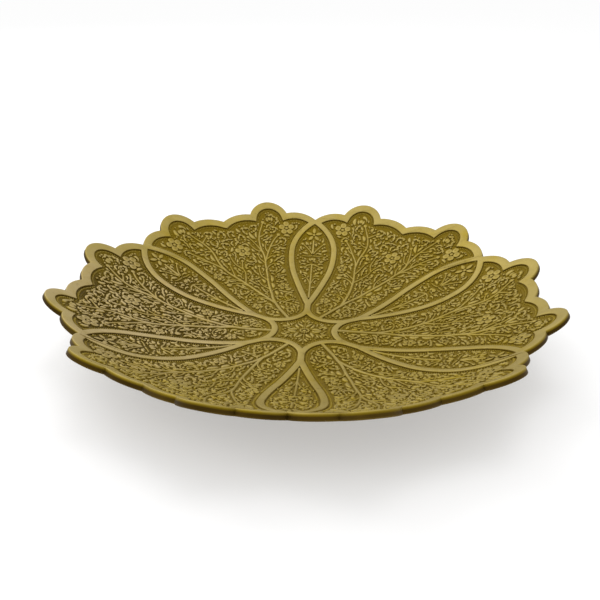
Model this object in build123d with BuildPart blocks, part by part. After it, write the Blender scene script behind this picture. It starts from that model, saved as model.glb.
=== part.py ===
"""Cast brass tray: a round, shallow, scalloped dish on a soldered foot ring.

The dish is one casting. Six broad petals overlap, and each overlap is a pointed leaf panel.
Plain straps outline the petals and run into the plain rim, and the panels between them are sunk.
A turned foot ring sits in a shallow groove under the dish, with a solder fillet on each side.

Millimetres, +Z up. The origin is the centre of the foot ring's resting plane.
Leaf panels point along +Y, -Y and every 60 degrees between; petals lie midway between them.
"""

from build123d import *
import os
from math import asin, atan2, cos, degrees, hypot, radians, sin, sqrt, tan

os.makedirs("parts", exist_ok=True)

# Driving dimensions
petal_count = 6
notch_radius = 137.0  # tray's centre to the notch where two petals cross
foot_height = 7.0  # resting plane to the underside of the dish
base_thickness = 3.4  # metal in the flat middle
rim_thickness = 3.8  # metal at the scalloped edge, square to the surface
recess_depth = 1.1  # how far the panels are sunk below the straps
strap_width = 4.0
rim_band_width = 5.3  # plain band inside the scalloped edge

# Dish profile: flat in the middle, then one arc up to the rim
flat_radius = 0.25 * notch_radius
bowl_arc_radius = 1.487 * notch_radius
blank_radius = 1.17 * notch_radius  # the turned blank, before its edge is scalloped
top_level = foot_height + base_thickness

# Scalloped edge: three lobes from a petal's end to its middle, mirrored about the middle.
# Each corner is (angle from the notch, radius), and a lobe rises by lobe_rises above its chord.
lobe_corners = [(0.0, 137.0), (9.2, 142.8), (20.8, 143.2), (30.0, 139.4)]
lobe_rises = [3.2, 10.1, 2.5]
core_radius = 0.97 * notch_radius

# Leaf panel, on the centre line of its straps: tip, widest place, end of the curve
leaf_tip = 0.99 * notch_radius
leaf_widest = (0.77 * notch_radius, 0.1155 * notch_radius)
leaf_curve_end = (0.565 * notch_radius, 0.0849 * notch_radius)

# Petals: their rounded inner ends leave a six-pointed star in the middle
petal_end_distance = 0.276 * notch_radius
petal_end_radius = petal_end_distance * sin(radians(180 / petal_count))

# Foot ring and its seat
foot_outer_radius = 54.0
foot_wall = 4.0
foot_toe = 1.5  # how much wider the ring is, each side, where it rests
foot_toe_height = 2.2
foot_edge_radius = 0.6
seat_depth = 0.5
seat_land_inner_radius = 46.5
seat_land_outer_radius = 58.5
fillet_leg = 1.6
solder_arc_slack = 0.25  # how far the solder's hollow face stands in from its chord, as a share


def bowl_height(radius):
    """Height of the strap level above the flat middle."""
    run = max(radius - flat_radius, 0.0)
    return bowl_arc_radius - sqrt(bowl_arc_radius**2 - run**2)


def bowl_slope(radius):
    """Slope of the dish's wall at a radius, in radians."""
    return asin(max(radius - flat_radius, 0.0) / bowl_arc_radius)


def polar(radius, angle):
    """A point on the plan, as x and y."""
    return radius * cos(radians(angle)), radius * sin(radians(angle))


def lobe_circles():
    """The circle of each lobe from a notch to the middle of its petal: x, y and radius."""
    circles = []
    for start, end, rise in zip(lobe_corners, lobe_corners[1:], lobe_rises):
        x0, y0 = polar(start[1], start[0])
        x1, y1 = polar(end[1], end[0])
        half_chord = hypot(x1 - x0, y1 - y0) / 2
        radius = (half_chord**2 + rise**2) / (2 * rise)
        reach = radius - rise
        outward = ((y1 - y0) / (2 * half_chord), (x0 - x1) / (2 * half_chord))
        centre_x = (x0 + x1) / 2 - reach * outward[0]
        centre_y = (y0 + y1) / 2 - reach * outward[1]
        circles.append((centre_x, centre_y, radius))
    return circles


def all_lobes():
    """Every lobe of the edge: distance of its centre, angle of its centre, radius."""
    lobes = []
    for petal in range(petal_count):
        for side in (1, -1):
            for x, y, radius in lobe_circles():
                angle = 90 + 360 / petal_count * petal + side * degrees(atan2(y, x))
                lobes.append((hypot(x, y), angle, radius))
    return lobes


def scalloped_plan(inset):
    """The scalloped outline, moved in by inset, as a flat face."""
    with BuildSketch() as plan:
        Circle(core_radius - inset)
        for distance, angle, radius in all_lobes():
            with Locations(polar(distance, angle)):
                Circle(radius - inset)
    return plan.sketch


def leaf_plan(shift):
    """A leaf pointing along +X: the centre line of its straps moved out by shift, as a face."""
    widest_x, widest_y = leaf_widest
    end_x, end_y = leaf_curve_end
    tip_radius = ((leaf_tip - widest_x) ** 2 + widest_y**2) / (2 * widest_y)
    side_radius = ((widest_x - end_x) ** 2 + (widest_y - end_y) ** 2) / (2 * (widest_y - end_y))
    turn = asin((widest_x - end_x) / side_radius)
    tip = (widest_x + sqrt((tip_radius + shift) ** 2 - (tip_radius - widest_y) ** 2), 0)
    widest = (widest_x, widest_y + shift)
    curve_end = (end_x - shift * sin(turn), end_y + shift * cos(turn))
    neck = (curve_end[0] - curve_end[1] / tan(turn), 0)
    with BuildSketch() as leaf:
        with BuildLine():
            RadiusArc(widest, tip, tip_radius + shift)
            RadiusArc(curve_end, widest, side_radius + shift)
            Polyline(curve_end, neck, tip)
        make_face()
        mirror(about=Plane.XZ)
    return leaf.sketch


def bowl_layer(depth, height):
    """All that lies from depth under the strap level up to a height, over the whole blank."""
    foot_of_arc = (flat_radius, top_level - depth)
    rise = bowl_height(blank_radius)
    with BuildPart() as layer:
        with BuildSketch(Plane.XZ):
            with BuildLine():
                floor = Line((0, top_level - depth), foot_of_arc)
                slope = bowl_slope(blank_radius)
                wall_top = (blank_radius + depth * sin(slope), top_level + rise - depth * cos(slope))
                wall = TangentArc(floor @ 1, wall_top, tangent=(1, 0))
                Polyline(wall @ 1, (wall_top[0], height), (0, height), floor @ 0)
            make_face()
        revolve(axis=Axis.Z)
    return layer.part


# The scalloped block: one cone per lobe, square to the dish's wall, round a plain core
block_height = top_level + bowl_height(blank_radius) + 10
with BuildPart() as scalloped_block:
    Cylinder(core_radius, block_height, align=(Align.CENTER, Align.CENTER, Align.MIN))
    for distance, angle, radius in all_lobes():
        edge_radius = distance + radius
        edge_height = top_level + bowl_height(edge_radius)
        lean = tan(bowl_slope(edge_radius))
        with Locations((*polar(distance, angle), 0)):
            Cone(
                radius + lean * edge_height,
                radius - lean * (block_height - edge_height),
                block_height,
                align=(Align.CENTER, Align.CENTER, Align.MIN),
            )

# The leaf panel inside its straps, and the same leaf out to the far side of its straps
leaf_panel = leaf_plan(-strap_width / 2)
leaf_with_straps = leaf_plan(strap_width / 2)

# One petal panel, pointing along +X: a round-ended wedge, less the leaf panels each side
half_sector = 180 / petal_count
wedge_apex = strap_width / 2 / sin(radians(half_sector))
with BuildSketch() as petal_panel:
    with BuildLine():
        far_x, far_y = polar(2 * notch_radius, half_sector)
        Polyline(
            (wedge_apex, 0),
            (far_x + wedge_apex, far_y),
            (far_x + wedge_apex, -far_y),
            close=True,
        )
    make_face()
    apex = petal_panel.vertices().sort_by(Axis.X)[0]
    fillet(apex, petal_end_radius - strap_width / 2)
    with PolarLocations(0, 1, start_angle=-90 + half_sector):
        add(scalloped_plan(rim_band_width), mode=Mode.INTERSECT)
    for side in (half_sector, -half_sector):
        with PolarLocations(0, 1, start_angle=side):
            add(leaf_with_straps, mode=Mode.SUBTRACT)

# The star in the middle, between the petals' round ends
with BuildSketch() as star_panel:
    Circle(petal_end_distance)
    with PolarLocations(petal_end_distance, petal_count):
        Circle(petal_end_radius + strap_width / 2, mode=Mode.SUBTRACT)

# The sunk panels, as deep as the recess all over the curved dish
with BuildPart() as panels:
    with BuildSketch(Plane.XY):
        with PolarLocations(0, petal_count):
            add(petal_panel.sketch)
        with PolarLocations(0, petal_count, start_angle=half_sector):
            add(leaf_panel)
        add(star_panel.sketch)
    extrude(amount=block_height)
    add(bowl_layer(recess_depth, block_height), mode=Mode.INTERSECT)

# The dish: a turned blank, cut to the scalloped edge, with its panels sunk and its seat turned
with BuildPart() as dish:
    with BuildSketch(Plane.XZ):
        with BuildLine():
            slope = bowl_slope(blank_radius)
            rim_top = (blank_radius, top_level + bowl_height(blank_radius))
            rim_bottom = (
                rim_top[0] + rim_thickness * sin(slope),
                rim_top[1] - rim_thickness * cos(slope),
            )
            middle = Line((0, top_level), (flat_radius, top_level))
            inner_wall = TangentArc(middle @ 1, rim_top, tangent=(1, 0))
            edge = Line(inner_wall @ 1, rim_bottom)
            outer_wall = TangentArc((flat_radius, foot_height), rim_bottom, tangent=(1, 0))
            underside = Line(outer_wall @ 0, (0, foot_height))
            Line(underside @ 1, middle @ 0)
        make_face()
    revolve(axis=Axis.Z)
    with BuildSketch(Plane.XY.offset(foot_height)):
        Circle(seat_land_outer_radius)
        Circle(seat_land_inner_radius, mode=Mode.SUBTRACT)
    extrude(amount=base_thickness / 2)
    with BuildSketch(Plane.XY.offset(foot_height)):
        Circle(foot_outer_radius)
        Circle(foot_outer_radius - foot_wall, mode=Mode.SUBTRACT)
    extrude(amount=seat_depth, mode=Mode.SUBTRACT)
    add(scalloped_block.part, mode=Mode.INTERSECT)
    add(panels.part, mode=Mode.SUBTRACT)

# The foot ring: a turned ring with a wider, softly rounded toe
foot_inner_radius = foot_outer_radius - foot_wall
with BuildPart() as foot_ring:
    with BuildSketch(Plane.XZ):
        with BuildLine():
            Polyline(
                (foot_inner_radius, foot_height + seat_depth),
                (foot_outer_radius, foot_height + seat_depth),
                (foot_outer_radius, 2 * foot_toe_height),
                (foot_outer_radius + foot_toe, foot_toe_height),
                (foot_outer_radius + foot_toe, 0),
                (foot_inner_radius - foot_toe, 0),
                (foot_inner_radius - foot_toe, foot_toe_height),
                (foot_inner_radius, 2 * foot_toe_height),
                close=True,
            )
        make_face()
    revolve(axis=Axis.Z)
    toe_edges = foot_ring.edges().filter_by_position(Axis.Z, 0, foot_toe_height)
    fillet(toe_edges, foot_edge_radius)


def solder_fillet(wall_radius, side):
    """A ring of solder in the corner of the ring's wall and the dish's seat; side is 1 outside."""
    corner = (wall_radius, foot_height)
    on_seat = (wall_radius + side * fillet_leg, foot_height)
    on_wall = (wall_radius, foot_height - fillet_leg)
    hollow = fillet_leg * (0.5 - solder_arc_slack / 2)
    waist = (wall_radius + side * hollow, foot_height - hollow)
    with BuildPart() as ring:
        with BuildSketch(Plane.XZ):
            with BuildLine():
                Line(on_wall, corner)
                Line(corner, on_seat)
                ThreePointArc(on_seat, waist, on_wall)
            make_face()
        revolve(axis=Axis.Z)
    return ring.part


outer_solder = solder_fillet(foot_outer_radius, 1)
inner_solder = solder_fillet(foot_inner_radius, -1)

finished = {
    "dish": dish.part,
    "foot_ring": foot_ring.part,
    "outer_solder_fillet": outer_solder,
    "inner_solder_fillet": inner_solder,
}
for name, piece in finished.items():
    piece.label = name
    export_step(piece, f"parts/{name}.step")
    print(name, "volume", round(piece.volume), "mm3, size", piece.bounding_box().size)
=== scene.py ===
# %% [markdown]
# A cast brass tray
#
# The tray is a shallow dish about 305 mm across. Six broad petals overlap, plain straps outline
# them, and the panels between the straps are sunk and filled with raised vines, flowers and leaves.
# A turned ring under it is its foot.
#
# The order here is a founder's: a smooth casting first, then the lace of rim and straps on it, then
# the ornament in the panels. Everything on the upper side is modelled flat, where it is easy to lay
# out, and then pressed into the bowl, as a pattern maker bends a flat pattern over a former.

# %% Load the measured model
from contextlib import contextmanager
from math import asin, atan2, copysign, cos, degrees, pi, radians, sin, sqrt, tan

import bpy
import numpy as np
from mathutils import Matrix, Vector


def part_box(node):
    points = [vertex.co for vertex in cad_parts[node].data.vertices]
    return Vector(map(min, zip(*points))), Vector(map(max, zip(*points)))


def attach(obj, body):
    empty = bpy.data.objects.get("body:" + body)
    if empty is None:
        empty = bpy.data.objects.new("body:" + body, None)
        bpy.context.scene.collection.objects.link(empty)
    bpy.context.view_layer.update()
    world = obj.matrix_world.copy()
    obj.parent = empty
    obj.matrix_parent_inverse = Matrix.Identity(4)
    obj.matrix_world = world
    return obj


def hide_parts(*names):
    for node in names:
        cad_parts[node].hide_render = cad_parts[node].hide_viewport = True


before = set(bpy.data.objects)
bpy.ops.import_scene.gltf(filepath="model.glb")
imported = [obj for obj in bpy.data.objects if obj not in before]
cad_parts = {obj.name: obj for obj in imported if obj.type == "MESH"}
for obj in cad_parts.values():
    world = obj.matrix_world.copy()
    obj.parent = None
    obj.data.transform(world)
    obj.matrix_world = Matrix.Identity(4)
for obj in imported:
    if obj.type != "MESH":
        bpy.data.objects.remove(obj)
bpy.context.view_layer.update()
dish_low, dish_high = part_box("dish")

# %% [markdown]
# Camera, light and floor
#
# The camera stands about half a metre away and looks down at 27 degrees. Polished metal shows what
# is around it, so an even white surround does most of the lighting, and three soft panels, the
# broadest high at the back left, add brighter places. The pale floor glows a little by itself,
# which keeps the shadow soft.

# %% Camera
MM = 0.001
NOTCH = 137.0 * MM  # from the middle to where two petals cross
FOOT_HEIGHT = dish_low.z
BASE_THICKNESS = 3.4 * MM
STRAP_LEVEL = FOOT_HEIGHT + BASE_THICKNESS  # top of the straps in the flat middle

CAMERA_DISTANCE = 3.4135 * NOTCH
CAMERA_ELEVATION = radians(26.82)
CAMERA_TURN = radians(2.893)  # the tray is turned a little, so the camera goes round it instead
AIM_RIGHT, AIM_UP, ROLL = radians(-0.387), radians(2.307), radians(0.838)
LENS_RATIO = 739.39 / 600
SENSOR = 36.0


def new_object(name, data):
    """An object in the scene that holds the given data."""
    made = bpy.data.objects.new(name, data)
    bpy.context.scene.collection.objects.link(made)
    return made


def aim_camera():
    """Put the camera on its spot and turn it to look a little above the middle of the dish."""
    middle = Vector((0, 0, STRAP_LEVEL))
    turn = Matrix.Rotation(CAMERA_TURN, 3, "Z")
    spot = turn @ Vector((0, -cos(CAMERA_ELEVATION), sin(CAMERA_ELEVATION))) * CAMERA_DISTANCE
    forward = turn @ Vector((0, cos(CAMERA_ELEVATION), -sin(CAMERA_ELEVATION)))
    right = turn @ Vector((1, 0, 0))
    forward = (forward + tan(AIM_RIGHT) * right + tan(AIM_UP) * right.cross(forward)).normalized()
    right = forward.cross(Vector((0, 0, 1))).normalized()
    up = right.cross(forward)
    right, up = cos(ROLL) * right + sin(ROLL) * up, cos(ROLL) * up - sin(ROLL) * right
    lens = bpy.data.cameras.new("camera")
    lens.sensor_width = SENSOR
    lens.lens = LENS_RATIO * SENSOR
    lens.clip_start = 0.01
    camera = new_object("camera", lens)
    rows = Matrix((right, up, -forward)).transposed()
    camera.matrix_world = Matrix.Translation(middle + spot) @ rows.to_4x4()
    bpy.context.scene.camera = camera
    return camera


camera = aim_camera()
print("camera at", tuple(round(v, 3) for v in camera.matrix_world.translation))

# %% Studio light and floor
def soft_panel(name, place, size, power):
    """A square white light of a given size that faces the tray."""
    lamp = bpy.data.lights.new(name, "AREA")
    lamp.size = size
    lamp.energy = power
    panel = new_object(name, lamp)
    panel.location = place
    panel.rotation_euler = (-Vector(place)).to_track_quat("-Z", "Y").to_euler()


# name, place and size in metres, power in watts
soft_panel("back_left_panel", (-0.9, 1.0, 1.3), 1.2, 8)
soft_panel("front_left_panel", (-1.1, -0.7, 1.0), 0.8, 3)
soft_panel("top_panel", (0.2, 0.1, 1.6), 0.7, 3)

world = bpy.data.worlds.new("studio")
world.use_nodes = True
surround = world.node_tree.nodes["Background"]
surround.inputs["Color"].default_value = (1, 1, 1, 1)
surround.inputs["Strength"].default_value = 1.0
bpy.context.scene.world = world
bpy.context.scene.view_settings.view_transform = "Standard"

bpy.ops.object.select_all(action="DESELECT")
bpy.ops.mesh.primitive_plane_add(size=14, location=(0, 0, 0))
floor = bpy.context.object
floor.name = "floor"
paper = bpy.data.materials.new("white_paper")
paper.use_nodes = True
for socket, value in [
    ("Base Color", (0.6, 0.6, 0.6, 1)), ("Roughness", 1.0), ("Specular IOR Level", 0.0),
    ("Emission Color", (1, 1, 1, 1)), ("Emission Strength", 0.38),
]:
    paper.node_tree.nodes["Principled BSDF"].inputs[socket].default_value = value
floor.data.materials.append(paper)

# %% [markdown]
# Writing materials as sums
#
# A finish is arithmetic on where a point is: how far from the middle, how high over the straps,
# how grainy. Wire wraps one output of a node, so + and * between wires add Math nodes, and
# Finish adds any other node in one call.

# %% Material helpers
class Wire:
    """One value or colour in a material. Arithmetic on it adds Math nodes."""

    def __init__(self, tree, socket):
        self.tree = tree
        self.socket = socket

    def math(self, operation, *values, clamp=False):
        node = self.tree.nodes.new("ShaderNodeMath")
        node.operation = operation
        node.use_clamp = clamp
        for slot, value in zip(node.inputs, values):
            join(self.tree, value, slot)
        return Wire(self.tree, node.outputs[0])

    def __add__(self, other):
        return self.math("ADD", self, other)

    def __sub__(self, other):
        return self.math("SUBTRACT", self, other)

    def __rsub__(self, other):
        return self.math("SUBTRACT", other, self)

    def __mul__(self, other):
        return self.math("MULTIPLY", self, other)

    def __truediv__(self, other):
        return self.math("DIVIDE", self, other)

    __radd__ = __add__
    __rmul__ = __mul__

    def limited(self):
        """The value held between 0 and 1."""
        return self.math("ADD", self, 0, clamp=True)

    def between(self, low, high):
        """0 at low, 1 at high, and straight between."""
        return ((self - low) / (high - low)).limited()

    def root(self):
        return self.math("SQRT", self)

    def at_least(self, value):
        return self.math("MAXIMUM", self, value)


def join(tree, value, slot):
    """Link a wire to a socket, or set a plain value on it."""
    if isinstance(value, Wire):
        tree.links.new(value.socket, slot)
    else:
        slot.default_value = value


class Finish:
    """A material and the few calls that build it."""

    def __init__(self, name):
        self.material = bpy.data.materials.new(name)
        self.material.use_nodes = True
        self.tree = self.material.node_tree
        self.shader = self.tree.nodes["Principled BSDF"]

    def node(self, kind, settings=None, output=0, **sockets):
        """Add a node: its settings first, then the values or wires of its sockets."""
        made = self.tree.nodes.new("ShaderNode" + kind)
        for key, value in (settings or {}).items():
            setattr(made, key, value)
        for key, value in sockets.items():
            join(self.tree, value, made.inputs[int(key[1:]) if key[0] == "_" else key])
        return Wire(self.tree, made.outputs[output])

    def mix(self, factor, first, second):
        """Blend two colours."""
        return self.node("Mix", {"data_type": "RGBA"}, output=2, _0=factor, _6=first, _7=second)

    def place(self):
        return self.node("TexCoord", output=3)

    def place_parts(self):
        """The x, y and z of a point, as three wires."""
        split = self.node("SeparateXYZ", Vector=self.place())
        return [Wire(self.tree, socket) for socket in split.socket.node.outputs]

    def noise(self, size_mm, detail):
        """Cloudy noise from 0 to 1 whose clouds are about size_mm across."""
        scale = 1 / (size_mm * MM)
        return self.node("TexNoise", Vector=self.place(), Scale=scale, Detail=detail, Roughness=0.6)

    def rings(self, along, pitch_mm):
        """A wave from -1 to 1 every pitch_mm, as a lathe tool leaves it."""
        phase = along * (2 * pi / (pitch_mm * MM))
        return phase.math("SINE", phase)

    def metal(self, base, rough, strength, depth_mm, bumps):
        """Set the shader to metal of this colour, roughness and relief."""
        normal = self.node("Bump", Strength=strength, Distance=depth_mm * MM, Height=bumps)
        for socket, value in [
            ("Base Color", base), ("Roughness", rough.limited()), ("Metallic", 1.0),
            ("Normal", normal),
        ]:
            join(self.tree, value, self.shader.inputs[socket])
        return self


def colour(red, green, blue):
    """A screen colour from 0 to 255, as the shader's light values."""
    return tuple((c / 255) ** 2.2 for c in (red, green, blue)) + (1,)


# %% [markdown]
# The bowl
#
# The dish is flat in the middle and then rises on one arc. Every pattern is laid out flat, with its
# height counted from the top of the straps, and press_into_bowl moves each point to the bowl:
# sideways places stay, and heights go square to the wall.

# %% The bowl's curve
FLAT_RADIUS = 0.25 * NOTCH
BOWL_ARC = 1.487 * NOTCH
RECESS = 1.1 * MM  # depth of the sunk panels
STRAP = 4.0 * MM
RIM_BAND = 5.3 * MM
RIM_THICKNESS = 3.8 * MM
PETALS = 6
HALF_PETAL = radians(180 / PETALS)


def coordinates(thing):
    """All of a mesh's points, as rows of x, y and z."""
    flat = np.empty(len(thing.data.vertices) * 3)
    thing.data.vertices.foreach_get("co", flat)
    return flat.reshape(-1, 3)


def set_coordinates(thing, rows):
    thing.data.vertices.foreach_set("co", np.asarray(rows, float).ravel())
    thing.data.update()


def bowl_point(x, y, height):
    """Where a point of the flat pattern goes in the bowl."""
    radius = np.hypot(x, y)
    lean = np.clip(radius - FLAT_RADIUS, 0, None) / BOWL_ARC
    upright = np.sqrt(1 - lean**2)
    grow = 1 - height * lean / np.maximum(radius, MM)
    rise = STRAP_LEVEL + BOWL_ARC * (1 - upright) + height * upright
    return np.column_stack((x * grow, y * grow, rise))


def deselect():
    if bpy.context.object and bpy.context.object.mode != "OBJECT":
        bpy.ops.object.mode_set(mode="OBJECT")
    bpy.ops.object.select_all(action="DESELECT")


def choose(thing):
    """Make one object the only selected and active one."""
    deselect()
    thing.select_set(True)
    bpy.context.view_layer.objects.active = thing


@contextmanager
def editing(thing):
    """Edit mode on one object, with all of its mesh selected."""
    choose(thing)
    bpy.ops.object.mode_set(mode="EDIT")
    bpy.ops.mesh.select_all(action="SELECT")
    yield
    bpy.ops.object.mode_set(mode="OBJECT")


def smooth(thing, limit):
    """Shade smooth, but keep edges sharper than limit degrees crisp."""
    choose(thing)
    bpy.ops.object.shade_smooth_by_angle(angle=radians(limit))


def press_into_bowl(thing):
    set_coordinates(thing, bowl_point(*coordinates(thing).T))


# %% [markdown]
# The scalloped edge
#
# From a notch to the middle of its petal the edge has a small, a large and a small lobe, each an
# arc. Going round the dish, the edge is the farthest reach of all 36 circles.

# %% Lobes of the edge
LOBE_CORNERS = [(0.0, 137.0), (9.2, 142.8), (20.8, 143.2), (30.0, 139.4)]
LOBE_RISES = [3.2, 10.1, 2.5]
EDGE_STEPS = 900  # 0.4 degrees each, so every corner of the edge falls on a step


def edge_circles():
    """Distance, angle and radius of every lobe's circle."""
    circles = []
    for (a0, r0), (a1, r1), rise in zip(LOBE_CORNERS, LOBE_CORNERS[1:], LOBE_RISES):
        start = Vector((cos(radians(a0)), sin(radians(a0)))) * r0 * MM
        end = Vector((cos(radians(a1)), sin(radians(a1)))) * r1 * MM
        half = (end - start).length / 2
        radius = (half**2 + (rise * MM) ** 2) / (2 * rise * MM)
        along = (end - start).normalized()
        centre = (start + end) / 2 - Vector((along.y, -along.x)) * (radius - rise * MM)
        for petal in range(PETALS):
            for side in (1, -1):
                angle = radians(90) + 2 * HALF_PETAL * petal + side * atan2(centre.y, centre.x)
                circles.append((centre.length, angle, radius))
    return circles


CIRCLES = edge_circles()


def edge_reach(angles, inset=0.0):
    """Distance from the middle to the edge, moved in by inset, at each angle."""
    reach = np.full_like(angles, 0.97 * NOTCH - inset)
    for distance, angle, radius in CIRCLES:
        across = distance * np.cos(angles - angle)
        inside = (radius - inset) ** 2 - distance**2 + across**2
        far = across + np.sqrt(np.maximum(inside, 0))
        reach = np.maximum(reach, np.where((inside > 0) & (across > 0), far, 0))
    return reach


edge_angles = np.arange(EDGE_STEPS) * 2 * pi / EDGE_STEPS
edge_line = edge_reach(edge_angles)
print("edge from", round(edge_line.min() / MM, 1), "to", round(edge_line.max() / MM, 1), "mm out")

# %% [markdown]
# Outlines of the panels
#
# A leaf panel is two mirrored curves: an arc from the tip to the widest place, an arc back in, and
# a straight run to the neck. Moving those arcs in or out by half a strap gives the panel's own
# edge and its neighbour's.

# %% Panel outlines
LEAF_TIP = 0.99 * NOTCH
LEAF_WIDEST = (0.77 * NOTCH, 0.1155 * NOTCH)
LEAF_CURVE_END = (0.565 * NOTCH, 0.0849 * NOTCH)
PETAL_END = 0.276 * NOTCH
PETAL_END_RADIUS = PETAL_END * sin(HALF_PETAL)


def leaf_side(shift, step=1.0 * MM):
    """One side of a leaf, from its neck to its tip, as along and across."""
    (wide_x, wide_y), (end_x, end_y) = LEAF_WIDEST, LEAF_CURVE_END
    tip_arc = ((LEAF_TIP - wide_x) ** 2 + wide_y**2) / (2 * wide_y)
    side_arc = ((wide_x - end_x) ** 2 + (wide_y - end_y) ** 2) / (2 * (wide_y - end_y))
    turn = asin((wide_x - end_x) / side_arc)
    far = asin(sqrt((tip_arc + shift) ** 2 - (tip_arc - wide_y) ** 2) / (tip_arc + shift))
    end = (end_x - shift * sin(turn), end_y + shift * cos(turn))
    neck = end[0] - end[1] / tan(turn)
    points = []
    count = int((end[0] - neck) / step)
    for i in range(count):
        points.append((neck + (end[0] - neck) * i / count, end[1] * i / count))
    count = int(side_arc * turn / step)
    for i in range(count):
        a = turn * (1 - i / count)
        x = wide_x - (side_arc + shift) * sin(a)
        points.append((x, wide_y - side_arc + (side_arc + shift) * cos(a)))
    count = int(tip_arc * far / step)
    for i in range(count + 1):
        a = far * i / count
        x = wide_x + (tip_arc + shift) * sin(a)
        points.append((x, wide_y - tip_arc + (tip_arc + shift) * cos(a)))
    return np.array(points)


def leaf_outline():
    """The leaf panel, pointing along +Y."""
    side = leaf_side(-STRAP / 2)
    left = np.column_stack((-side[1:, 1], side[1:, 0]))
    right = np.column_stack((side[:-1, 1], side[:-1, 0]))
    return np.vstack((right, left[::-1]))


def petal_outline():
    """The petal panel, pointing along +Y: round end, leaf straps, then the lobes' cells."""
    centre = PETAL_END * np.array((cos(HALF_PETAL), sin(HALF_PETAL)))
    sweep = np.radians(np.linspace(210, 270, 22))
    bend = PETAL_END_RADIUS - STRAP / 2
    end = centre + bend * np.column_stack((np.cos(sweep), np.sin(sweep)))
    side = leaf_side(STRAP / 2)
    side = side[side[:, 1] > STRAP / 2]
    side_angle = np.arctan2(side[:, 1], side[:, 0])
    cell_reach = edge_reach(side_angle + radians(90), RIM_BAND)
    side = side[(np.hypot(side[:, 0], side[:, 1]) < cell_reach) | (side[:, 0] < LEAF_WIDEST[0])]
    corner = atan2(side[-1, 1], side[-1, 0])
    angles = np.radians(np.arange(0.2, 30.01, 0.4))
    angles = angles[angles > corner]
    reach = edge_reach(angles + radians(90), RIM_BAND)
    cells = np.column_stack((reach * np.cos(angles), reach * np.sin(angles)))
    half = np.vstack((end, side, cells))
    radius, angle = np.hypot(*half.T), HALF_PETAL - np.arctan2(half[:, 1], half[:, 0])
    right = np.column_stack((radius * np.sin(angle), radius * np.cos(angle)))
    left = right[1:-1] * (-1, 1)
    return np.vstack((right, left[::-1]))


def turned(points, angle):
    """Plan points turned about the middle."""
    x, y = np.asarray(points).T
    return np.column_stack((x * cos(angle) - y * sin(angle), x * sin(angle) + y * cos(angle)))


def star_outline():
    """The six-pointed star in the middle, one of its points along +Y."""
    bend = PETAL_END_RADIUS + STRAP / 2
    half_arc = asin(PETAL_END * sin(HALF_PETAL) / bend) - HALF_PETAL
    sweep = np.linspace(-half_arc, half_arc, 25)[:-1]
    arc = [(PETAL_END - bend * cos(a), bend * sin(a)) for a in sweep]
    return np.vstack([turned(arc, 2 * HALF_PETAL * petal) for petal in range(PETALS)])


petal_edge, leaf_edge, star_edge = petal_outline(), leaf_outline(), star_outline()
print("outline points", len(petal_edge), len(leaf_edge), len(star_edge))

# %% [markdown]
# The casting
#
# The casting is a turned blank, so it is a profile spun round the middle. The profile is drawn
# flat: the sunk floor on top, the edge, and the underside with the land and groove that take the
# foot ring. After the spin the outer rows are stretched to the scalloped edge and all is pressed.

# %% Spin the casting
CORE_RADIUS = 118 * MM  # inside this the rows stay round
SEAT_LAND = (46.5 * MM, 58.5 * MM)
FOOT_WALL = (50.0 * MM, 54.0 * MM)
SEAT_DEPTH = 0.5 * MM
DISH, LAND, GROOVE = 0, 1, 2  # what a row of the back belongs to
BACK_MARK = 0.1  # a back row's height is -0.1 less its kind, far below any real height


def tidy_mesh(thing):
    """Merge doubled points and turn all faces outwards."""
    with editing(thing):
        bpy.ops.mesh.remove_doubles(threshold=0.001 * MM)
        bpy.ops.mesh.normals_make_consistent(inside=False)


def casting_profile():
    """Rows of (radius, height), from the middle of the floor round the edge to the seat's land."""
    rim = edge_line.max()
    lip = 0.9 * MM  # rounding of the lower edge
    top = [(r, -RECESS) for r in np.linspace(0, CORE_RADIUS, 20)]
    top += [(r, -RECESS) for r in np.linspace(CORE_RADIUS, rim, 9)[1:]]
    edge = [(rim, -0.5 * (RECESS + RIM_THICKNESS - lip))]
    for a in np.radians((0, 30, 60, 90)):
        edge.append((rim - lip * (1 - cos(a)), -RIM_THICKNESS + lip * (1 - sin(a))))
    back = [(r, -RIM_THICKNESS) for r in np.linspace(rim - lip, CORE_RADIUS, 9)[1:]]
    back += [(r, -RIM_THICKNESS) for r in np.linspace(CORE_RADIUS, SEAT_LAND[1], 11)[1:]]
    return top + edge + back


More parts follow.
